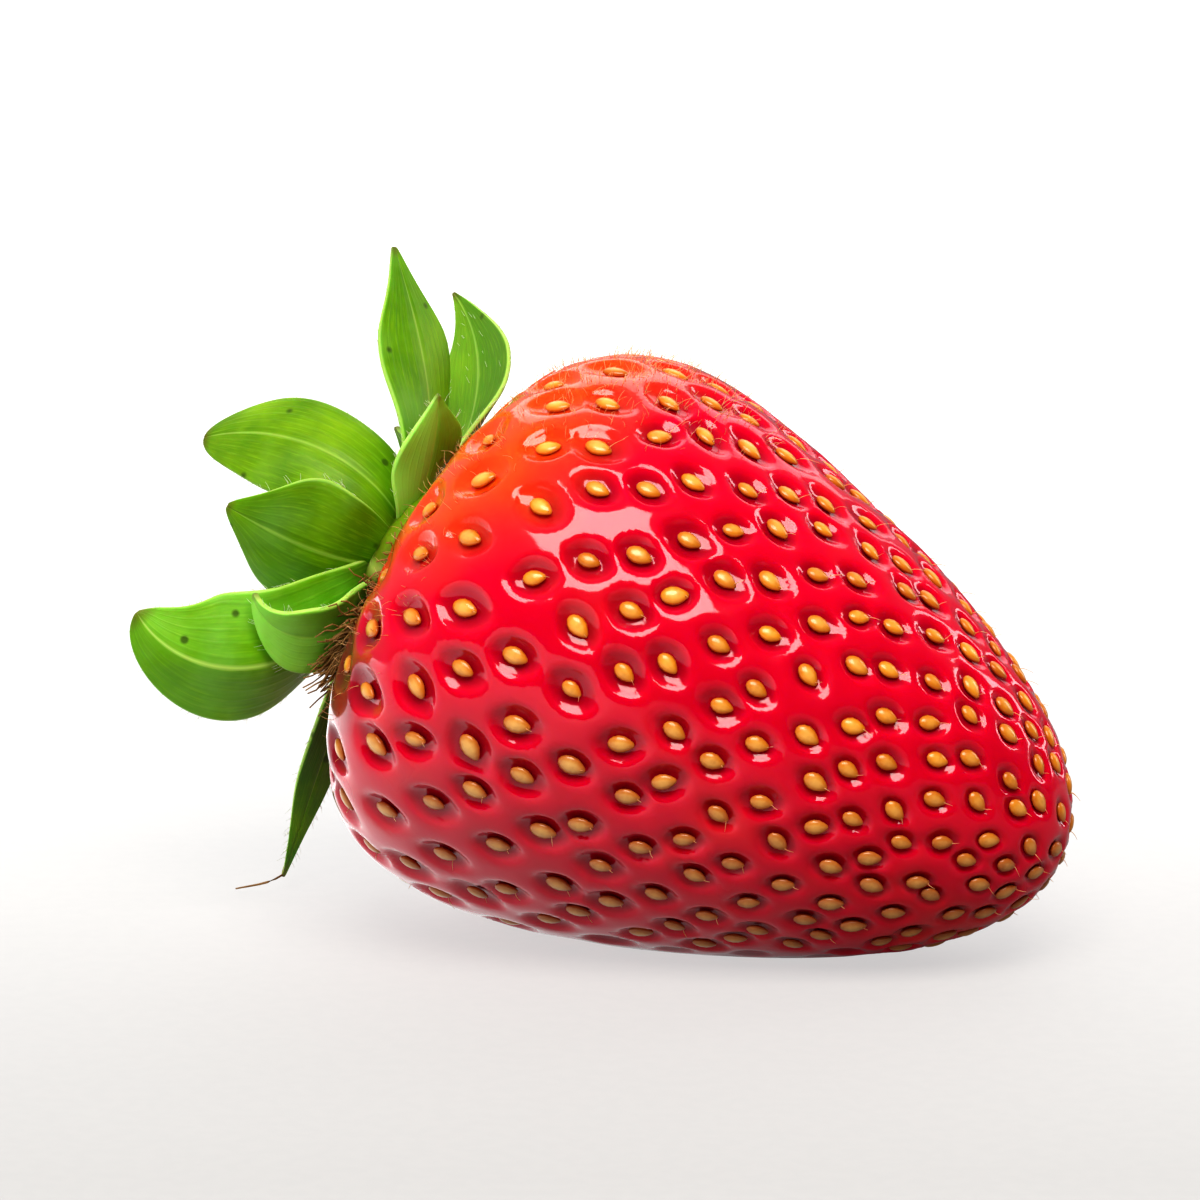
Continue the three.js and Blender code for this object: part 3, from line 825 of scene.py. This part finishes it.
class STRAWBERRY_OT_styles(bpy.types.Operator):
    """Models the dried styles on the achenes, and the short hairs on the shoulder"""

    bl_idname = "strawberry.styles"
    bl_label = "Styles and shoulder hairs"

    def execute(self, context):
        settings = context.scene.strawberry_achenes
        q, point, ahead, side, normal, _ = achene_frames()
        random = np.random.default_rng(STYLE_SEED)
        keep = (in_part(point)[:, 2] > STYLE_CLEARANCE) & (random.random(len(q)) < STYLES_LEFT)
        q, point, ahead, side, normal = (v[keep] for v in (q, point, ahead, side, normal))
        depth = context.scene.strawberry_flesh.pit_depth * cell(-q[:, 0])
        root = point + ahead * STYLE_ROOT[0] + normal * (STYLE_ROOT[1] - depth)[:, None]
        t = np.linspace(0, 1, 6)[None, :, None]
        longer_on_top = 0.5 + 0.75 * smoothstep(leaning(normal)[:, 2], 0.55, 0.95)
        reach = (settings.style / MM * random.uniform(0.6, 1.25, len(q)) * longer_on_top)[:, None, None]
        bend = random.normal(0, 0.45, len(q))[:, None, None]
        fall = random.uniform(0.2, 1.1, len(q))[:, None, None]
        way = normal[:, None] * t + ahead[:, None] * (fall * t * t) + side[:, None] * (bend * t * t)
        points, faces = strands(root[:, None] + way * reach, STYLE_RADIUS, 0.65)
        styles = mesh_piece("styles", in_part(points), faces)
        thread = dry_thread("dried_style", settings.thread, linear("f4c890"))
        dress(styles, "styles", thread)
        dress(self.down(random), "shoulder_hairs", thread)
        return {"FINISHED"}

    def down(self, random):
        """Short hairs that stand on the upper shoulder."""
        q = unit(random.normal(0, 1, (SHOULDER_TRIES, 3)))
        point, normal, along, side = surface(q)
        c = -q[:, 0]
        rise = leaning(normal)[:, 2] - random.uniform(0, 0.25, len(q))
        few = random.random(len(q)) < 0.45
        crest = (rise > 0.72) & (c > 0.1) & (c < 0.93)
        neck = few & (rise > 0.05) & (c > 0.7) & (c < 0.98)
        keep = np.flatnonzero(crest | neck)
        flesh = bpy.context.scene.strawberry_flesh
        height, _ = flesh_height(q[keep], flesh, pits(flesh)[1])
        point, normal, along, side = (v[keep] for v in (point, normal, along, side))
        point = point + normal * (height - ROOT_SINK)[:, None]
        t = np.linspace(0, 1, 4)[None, :, None]
        reach = random.uniform(0.3, 0.85, len(keep))[:, None, None]
        swing = unit(along)[:, None] * random.normal(0.2, 0.4, len(keep))[:, None, None]
        swing = swing + unit(side)[:, None] * random.normal(0, 0.4, len(keep))[:, None, None]
        paths = point[:, None] + reach * (normal[:, None] * t + swing * t * t)
        points, faces = strands(paths, SHOULDER_HAIR_RADIUS, 0.7)
        return mesh_piece("shoulder_hairs", in_part(points), faces)


# ------------------------------------------------------------------ calyx


def blade_outline(leaf, t):
    """How wide a blade is at t, from its root at 0 to its point at 1, as a share of its widest."""
    past = np.clip((t - BLADE_WIDEST) / (1 - BLADE_WIDEST), 0, 1)
    narrow = np.cos(np.pi / 2 * past) ** (0.75 - 0.25 * leaf.blunt)
    narrow *= 1 - 0.45 * (1 - leaf.blunt) * smoothstep(past, 0.35, 0.95)
    rising = 0.52 + 0.48 * np.sin(np.pi / 2 * np.clip(t / BLADE_WIDEST, 0, 1))
    return np.where(t < BLADE_WIDEST, rising, np.maximum(0.03, narrow))


def blade_axes(leaf, t):
    """A blade's direction, side and face towards the fruit at t, in the calyx's frame."""
    turn = math.radians(leaf.turn)
    out = np.array([0, -math.sin(turn), math.cos(turn)])
    back = np.array([-1.0, 0, 0])
    root, halfway, tip = leaf.lean
    lean = root * (1 - t) * (1 - 2 * t) + halfway * 4 * t * (1 - t) + tip * t * (2 * t - 1)
    lean = np.radians(lean)[:, None]
    sway = np.radians(leaf.sway * t)[:, None]
    twist = np.radians(leaf.twist * t)[:, None]
    along = out * np.cos(lean) + back * np.sin(lean)
    side = np.cross(back, out)
    direction = along * np.cos(sway) + side * np.sin(sway)
    side = side * np.cos(sway) - along * np.sin(sway)
    side = side * np.cos(twist) + np.cross(direction, side) * np.sin(twist)
    return direction, side, np.cross(side, direction)


def blade_middle(leaf, t):
    """The blade's midrib at t. The solid's blade has ten straight lengths, which this follows smoothly."""
    steps = 400
    fine = (np.arange(steps) + 0.5) / steps
    ahead = blade_axes(leaf, fine + 0.05)[0] * leaf.length / steps
    path = np.concatenate([[[0, 0, 0]], np.cumsum(ahead, axis=0)])
    turn = math.radians(leaf.turn)
    start = np.array([-BLADE_RISE, -math.sin(turn) * BLADE_ROOT, math.cos(turn) * BLADE_ROOT])
    return start + np.stack([np.interp(t * steps, np.arange(steps + 1), path[:, k]) for k in range(3)], 1)


def blade_points(leaf, t, u, phase):
    """Points of the blade's middle layer at t along it and u across it, from -1 to 1, and its face there."""
    middle = blade_middle(leaf, t)
    _, side, face = blade_axes(leaf, t)
    half = (leaf.width / 2 * blade_outline(leaf, t))[:, None]
    cross = np.abs(u)[:, None]
    drop = 2 * half * leaf.cup * cross ** leaf.crease
    waves = np.sin(2 * np.pi * (1.9 * t + phase) + np.sign(u) * 1.1)[:, None]
    ruffle = RUFFLE * cross**2 * waves * (half / 3)
    return middle + side * half * u[:, None] - face * drop + face * ruffle, face


def make_blade(leaf, settings, random):
    """One blade: a grid bent to its form, thickened, with a raised midrib under it."""
    grid = {"x_subdivisions": BLADE_COLUMNS, "y_subdivisions": BLADE_ROWS, "size": 2, "calc_uvs": True}
    blade = start_piece(bpy.ops.mesh.primitive_grid_add, **grid)
    blade.data.uv_layers[0].name = "blade"
    flat = read_mesh(blade)
    u, t = flat[:, 0], (flat[:, 1] + 1) / 2
    points, face = blade_points(leaf, t, u, random.random())
    rib = RIB_HEIGHT * np.exp(-((u / RIB_WIDTH) ** 2)) * (1 - 0.7 * t)
    write_mesh(blade, from_calyx(points - face * rib[:, None]))
    # painted light and shade: the tone is raised on one side of the midrib and lowered on the other
    tone = leaf.tone + leaf.halves * np.clip(8 * u, -1, 1)
    set_attributes(blade, facing=leaning(face @ CALYX_TURN.T), tone=tone, rib=leaf.rib, cool=leaf.cool)
    apply_modifier(blade, "SOLIDIFY", thickness=settings.thickness, offset=0.0)
    apply_modifier(blade, "SUBSURF", levels=1, render_levels=1)
    edit_all(bpy.ops.mesh.normals_make_consistent, inside=False)
    facing = blade.data.attributes["facing"]
    towards = np.array([f.vector.dot(v.normal) for f, v in zip(facing.data, blade.data.vertices)])
    blade.data.attributes.remove(facing)
    set_attributes(blade, underside=smoothstep(-towards, -0.2, 0.4))
    return blade


class STRAWBERRY_OT_leaves(bpy.types.Operator):
    """Models the sepals and the narrower bractlets between them"""

    bl_idname = "strawberry.leaves"
    bl_label = "Sepals and bractlets"

    def execute(self, context):
        settings = context.scene.strawberry_calyx
        tissue = leaf_tissue(settings)
        random = np.random.default_rng(BLADE_SEED)
        for name, leaf in LEAVES.items():
            dress(make_blade(leaf, settings, random), name, tissue, ["calyx"])
        return {"FINISHED"}


class STRAWBERRY_OT_hub(bpy.types.Operator):
    """Models the hub that carries the leaves"""

    bl_idname = "strawberry.hub"
    bl_label = "Hub"

    def execute(self, context):
        settings = context.scene.strawberry_calyx
        hub = start_piece(bpy.ops.mesh.primitive_uv_sphere_add, segments=72, ring_count=36, radius=1)
        ball = read_mesh(hub)[:, [2, 0, 1]]
        turn = np.arctan2(-ball[:, 1], ball[:, 2])
        out = np.hypot(ball[:, 1], ball[:, 2])
        leaf_turns = np.radians([leaf.turn for leaf in LEAVES.values()])
        near = np.abs((turn[:, None] - leaf_turns + np.pi) % (2 * np.pi) - np.pi).min(1)
        lobe = 1 - 0.1 * smoothstep(near, 0.05, 0.3) * out**2
        behind = np.clip(-ball[:, 0], 0, 1)
        back = HUB_RIM + (HUB_HEIGHT - HUB_RIM) * behind**0.8
        depth = np.where(ball[:, 0] > 0, HUB_RIM * (ball[:, 0] - 1), -back)
        radius = HUB_RADIUS * out**0.75 * lobe
        points = np.stack([depth, -radius * np.sin(turn), radius * np.cos(turn)], 1)
        write_mesh(hub, from_calyx(points))
        edit_all(bpy.ops.mesh.normals_make_consistent, inside=False)
        # Painted shade: the hub's lower side gets a darker tone and more of the withered brown than its top;
        # the rest of the withered brown is its own.
        low = 0.5 - 0.5 * np.cos(turn)
        set_attributes(hub, tone=0.6 - 0.5 * low, worn=0.15 + 0.55 * low, underside=0.2)
        hub.data.uv_layers[0].name = "blade"
        dress(hub, "calyx_hub", leaf_tissue(settings), ["calyx"])
        return {"FINISHED"}


class STRAWBERRY_OT_down(bpy.types.Operator):
    """Models the fine hairs on the leaves and the withered stamens round the neck"""

    bl_idname = "strawberry.down"
    bl_label = "Hairs and stamens"

    def execute(self, context):
        settings = context.scene.strawberry_calyx
        self.leaf_hairs(settings)
        self.stamens(settings)
        return {"FINISHED"}

    def leaf_hairs(self, settings):
        """Hairs along each blade's edges and on its underside, lying towards the point."""
        random = np.random.default_rng(LEAF_HAIR_SEED)
        phases = np.random.default_rng(BLADE_SEED)
        paths = []
        s = np.linspace(0, 1, 4)[None, :, None]
        for leaf in LEAVES.values():
            count = int(leaf.length * LEAF_HAIRS_PER_MM)
            t = random.uniform(0.08, 0.97, count)
            on_edge = random.random(count) < HAIRS_ON_EDGE
            u = np.where(on_edge, np.sign(random.random(count) - 0.5), random.uniform(-0.9, 0.9, count))
            root, face = blade_points(leaf, t, u, phases.random())
            direction, side, _ = blade_axes(leaf, t)
            outward = np.where(on_edge[:, None], side * u[:, None], -face)
            forward = random.uniform(0.4, 1.1, count)[:, None]
            way = unit(outward + direction * forward + random.normal(0, 0.25, (count, 3)))
            reach = settings.hair / MM * random.uniform(0.5, 1.2, count)[:, None, None]
            droop = direction[:, None] * (s * s * reach * 0.3)
            paths.append(root[:, None] + way[:, None] * (s * reach) + droop)
        points, faces = strands(np.concatenate(paths), LEAF_HAIR_RADIUS, 0.7)
        hairs = mesh_piece("leaf_hairs", from_calyx(points), faces)
        hair = dry_thread("plant_hair", linear("dfe8c4"), linear("f6f8ea"))
        dress(hairs, "leaf_hairs", hair, ["calyx"])

    def stamens(self, settings):
        """Withered filaments that stand in the shoulder round the calyx, bushy in the patch under it."""
        random = np.random.default_rng(STAMEN_SEED)
        rings = 7
        evenly = np.arange(STAMENS_ROUND) + random.uniform(-0.4, 0.4, STAMENS_ROUND)
        under = 3.8  # the turn, in radians, round which the bushy patch lies
        turn = np.append(2 * np.pi * evenly / STAMENS_ROUND, random.normal(under, 0.25, STAMENS_LOW))
        start = np.append(random.uniform(2.6, 3.8, STAMENS_ROUND), random.uniform(4.0, 7.5, STAMENS_LOW))
        count = len(turn)
        low = 0.5 - 0.5 * np.sin(turn)
        reach = random.uniform(1.2, 2.6, count) * (0.3 + 1.4 * low)
        bushy = np.where(np.arange(count) < STAMENS_ROUND, 1.2, 1.9)
        rise = 0.1 + bushy * random.random(count) ** 2
        flesh = bpy.context.scene.strawberry_flesh
        height, _ = flesh_height(walk_far(start, turn), flesh, pits(flesh)[1])
        path = []
        for ring in range(rings):
            s = ring / (rings - 1)
            wavy = turn + random.normal(0, 0.02, count) + 0.15 * s * np.sin(9 * turn)
            point, normal, *_ = surface(walk_far(start + reach * s, wavy))
            lift = STAMEN_LIFT + rise * s**1.3 + (height - ROOT_SINK - STAMEN_LIFT) * (1 - s) ** 3
            path.append(point + normal * lift[:, None])
        paths = np.stack(path, 1)
        paths = np.concatenate([in_part(paths), self.dry_tip(rings)[None]])
        points, faces = strands(paths, STAMEN_RADIUS, 0.45, sides=4)
        stamens = mesh_piece("stamens", points, faces)
        dress(stamens, "stamens", dry_thread("withered_stamen", settings.withered, linear("b08a4c")))

    def dry_tip(self, rings):
        """The withered point of the lowest bractlet, which curls out over the ground."""
        start = from_calyx(blade_middle(LEAVES["bractlet_under"], np.array([0.99])))[0]
        t = np.linspace(0, 1, rings)
        right, _, back = (np.array(axis) for axis in camera_axes(math.radians(CAMERA_AZIMUTH), 0))
        path = start - np.outer(CURL_LENGTH * t, right) + np.outer(0.3 * np.sin(math.pi * t), back)
        landing = 0.2
        path[:, 2] = landing + (start[2] - landing) * (1 - t) ** 2 + 0.25 * np.sin(math.pi * t) * t
        return path


def walk_far(distance, turn):
    """The directions that lie distance mm from the calyx's pole over the skin, at these turns round it."""
    steps = 60
    polar = np.linspace(0.001, 0.9, steps)
    ring = skin(np.stack([-np.cos(polar), np.sin(polar), np.zeros(steps)], 1))
    run = np.concatenate([[0], np.cumsum(np.linalg.norm(np.diff(ring, axis=0), axis=1))])
    a = np.interp(distance, run, polar)
    return np.stack([-np.cos(a), np.sin(a) * np.cos(turn), np.sin(a) * np.sin(turn)], 1)


class STRAWBERRY_OT_stalk(bpy.types.Operator):
    """Models the snapped end of the stalk"""

    bl_idname = "strawberry.stalk"
    bl_label = "Stalk"

    def execute(self, context):
        settings = context.scene.strawberry_calyx
        cylinder = {"vertices": 28, "radius": 1, "depth": 2, "end_fill_type": "TRIFAN"}
        stalk = start_piece(bpy.ops.mesh.primitive_cylinder_add, **cylinder)
        edit_all(bpy.ops.mesh.subdivide, number_cuts=7)
        raw = read_mesh(stalk)
        t = (raw[:, 2] + 1) / 2
        turn = np.arctan2(raw[:, 1], raw[:, 0])
        out = np.hypot(raw[:, 0], raw[:, 1])
        fibres = zip(2 * np.cos(turn), 2 * np.sin(turn), 3 * out)
        torn = np.array([noise.noise(Vector(fibre)) for fibre in fibres])
        ribs = 1 + 0.05 * np.cos(7 * turn)
        radius = STUB_RADIUS * (1.12 - 0.2 * t) * out * ribs
        torn_face = np.where(t > 0.999, STUB_TEAR * torn - 0.15 * (1 - out), 0)
        back = -HUB_HEIGHT - GAP - STUB_LENGTH * t - torn_face
        points = np.stack([back, radius * np.cos(turn), radius * np.sin(turn) - STUB_DROOP * t * t], 1)
        write_mesh(stalk, from_calyx(points))
        edit_all(bpy.ops.mesh.normals_make_consistent, inside=False)
        worn = smoothstep(t, 0.9, 1.0) * 0.8 + 0.1
        set_attributes(stalk, tone=np.where(t > 0.95, 0.2, 0.5), underside=0.8, worn=worn)
        stalk.data.uv_layers[0].name = "blade"
        dress(stalk, "stalk", leaf_tissue(settings), ["stem_stub"])
        return {"FINISHED"}


# ------------------------------------------------------------------ stage


class Softbox(NamedTuple):
    """A studio light with a rectangular face that is turned to the fruit, in metres."""

    name: str
    way: tuple  # where it stands: how far to the camera's right, upwards and towards the camera
    distance: float
    width: float
    height: float
    radiance: float
    colour: str = "ffffff"
    mirrored: bool = True  # whether it leaves a highlight in the wet skin


SOFTBOXES = (
    Softbox("key", (0.06, 0.64, 0.77), 0.4, 0.28, 0.23, 7.0, colour="fffcf6"),
    Softbox("side", (0.82, 0.4, -0.35), 0.4, 0.08, 0.2, 4.0),
    Softbox("fill", (-0.8, 0.2, 0.56), 0.5, 0.3, 0.3, 1.8, mirrored=False),
    Softbox("back", (0.1, 0.75, -0.65), 0.5, 0.5, 0.3, 1.0),
)


def camera_axes(azimuth, elevation):
    """Which way is right, up and back for a camera that stands at this azimuth and elevation."""
    right = Vector((math.cos(azimuth), math.sin(azimuth), 0))
    level = math.cos(elevation)
    back = Vector((math.sin(azimuth) * level, -math.cos(azimuth) * level, math.sin(elevation)))
    return right, back.cross(right), back


class STRAWBERRY_OT_stage(bpy.types.Operator):
    """Sets the floor, the lights and the camera"""

    bl_idname = "strawberry.stage"
    bl_label = "Stage"

    def execute(self, context):
        settings = context.scene.strawberry_stage
        axes = camera_axes(settings.azimuth, settings.elevation)
        corners = np.concatenate([read_mesh(node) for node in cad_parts.values()])
        target = Vector()
        for axis in axes:
            along = corners @ np.array(axis)
            target += axis * float((along.min() + along.max()) / 2)
        span = float(np.ptp(corners @ np.array(axes[0])))
        self.add_camera(context.scene, settings, target, span, axes)
        self.add_floor(settings)
        for box in SOFTBOXES:
            self.add_softbox(context.scene, box, target, axes)
        self.light_room(context.scene)
        context.scene.view_settings.view_transform = "Standard"
        context.scene.view_settings.look = "High Contrast"
        return {"FINISHED"}

    def add_camera(self, scene, settings, target, span, axes):
        """The camera looks at the fruit's middle, from where the fruit fills its share of the view."""
        data = bpy.data.cameras.new("camera")
        data.lens = settings.lens
        distance = span / settings.fill * data.lens / data.sensor_width
        camera = bpy.data.objects.new("camera", data)
        scene.collection.objects.link(camera)
        turn = Matrix(axes).transposed().to_4x4()
        camera.matrix_world = Matrix.Translation(target + axes[2] * distance) @ turn
        data.clip_start, data.clip_end = 0.01, 10
        scene.camera = camera

    def add_floor(self, settings):
        just_under = -0.05 * MM
        floor = start_piece(bpy.ops.mesh.primitive_plane_add, size=6, location=(0, 0, just_under))
        floor.name = "floor"
        floor.rotation_euler[2] = settings.azimuth
        floor.data.materials.append(floor_sheet(settings))

    def add_softbox(self, scene, box, target, axes):
        data = bpy.data.lights.new(box.name, "AREA")
        data.shape = "RECTANGLE"
        data.size, data.size_y = box.width, box.height
        data.energy = math.pi * box.width * box.height * box.radiance
        data.color = linear(box.colour)
        towards = sum((axis * share for axis, share in zip(axes, box.way)), Vector()).normalized()
        lamp = bpy.data.objects.new(box.name, data)
        lamp.location = target + towards * box.distance
        lamp.rotation_euler = towards.to_track_quat("Z", "Y").to_euler()
        lamp.visible_glossy = box.mirrored
        scene.collection.objects.link(lamp)

    def light_room(self, scene):
        """A pale room, brightest where its window is. The wet skin mirrors it dimly, so that it stays red,
        and the camera sees plain white."""
        world = bpy.data.worlds.new("studio")
        scene.world = world
        world.use_nodes = True
        tree = world.node_tree
        tree.nodes.clear()
        way = add_node(tree, "TexCoord", output="Generated")
        to_window = {0: way, 1: (-0.8, 0.55, 0.25)}
        nearness = add_node(tree, "VectorMath", to_window, "Value", operation="DOT_PRODUCT")
        level = add_node(tree, "MapRange", {0: nearness, 1: -0.3, 2: 0.9, 3: 0.05, 4: 1.0})
        mirrored = add_node(tree, "LightPath", output="Is Glossy Ray")
        dimmed = add_node(tree, "MapRange", {0: mirrored, 3: 1.0, 4: 0.25})
        level = add_node(tree, "Math", {0: level, 1: dimmed}, operation="MULTIPLY")
        seen = add_node(tree, "LightPath", output="Is Camera Ray")
        backdrop = add_node(tree, "Math", {0: seen, 1: 1.2}, operation="MULTIPLY")
        level = add_node(tree, "Math", {0: level, 1: backdrop}, operation="MAXIMUM")
        room = add_node(tree, "Background", {"Color": (1, 1, 1, 1), "Strength": level})
        add_node(tree, "OutputWorld", {"Surface": room})


# ------------------------------------------------------------------ add-on


STEPS = ("flesh", "achenes", "styles", "hub", "leaves", "down", "stalk", "stage")


class STRAWBERRY_PT_panel(bpy.types.Panel):
    """Lists the pieces and their settings"""

    bl_idname = "STRAWBERRY_PT_panel"
    bl_label = "Strawberry"
    bl_space_type = "VIEW_3D"
    bl_region_type = "UI"
    bl_category = "Strawberry"

    def draw(self, context):
        for step in STEPS:
            self.layout.operator(f"strawberry.{step}")
        for key in SETTINGS:
            box = self.layout.box()
            group = getattr(context.scene, key)
            for name in group.bl_rna.properties.keys():
                if name not in ("rna_type", "name"):
                    box.prop(group, name)


SETTINGS = {
    "strawberry_flesh": FleshSettings,
    "strawberry_achenes": AcheneSettings,
    "strawberry_calyx": CalyxSettings,
    "strawberry_stage": StageSettings,
}
CLASSES = (
    *SETTINGS.values(),
    STRAWBERRY_OT_flesh,
    STRAWBERRY_OT_achenes,
    STRAWBERRY_OT_styles,
    STRAWBERRY_OT_hub,
    STRAWBERRY_OT_leaves,
    STRAWBERRY_OT_down,
    STRAWBERRY_OT_stalk,
    STRAWBERRY_OT_stage,
    STRAWBERRY_PT_panel,
)


def register():
    for cls in CLASSES:
        bpy.utils.register_class(cls)
    for key, group in SETTINGS.items():
        setattr(bpy.types.Scene, key, bpy.props.PointerProperty(type=group))


def unregister():
    for key in SETTINGS:
        delattr(bpy.types.Scene, key)
    for cls in reversed(CLASSES):
        bpy.utils.unregister_class(cls)


def main():
    register()
    for step in STEPS:
        getattr(bpy.ops.strawberry, step)()


if __name__ == "__main__":
    main()
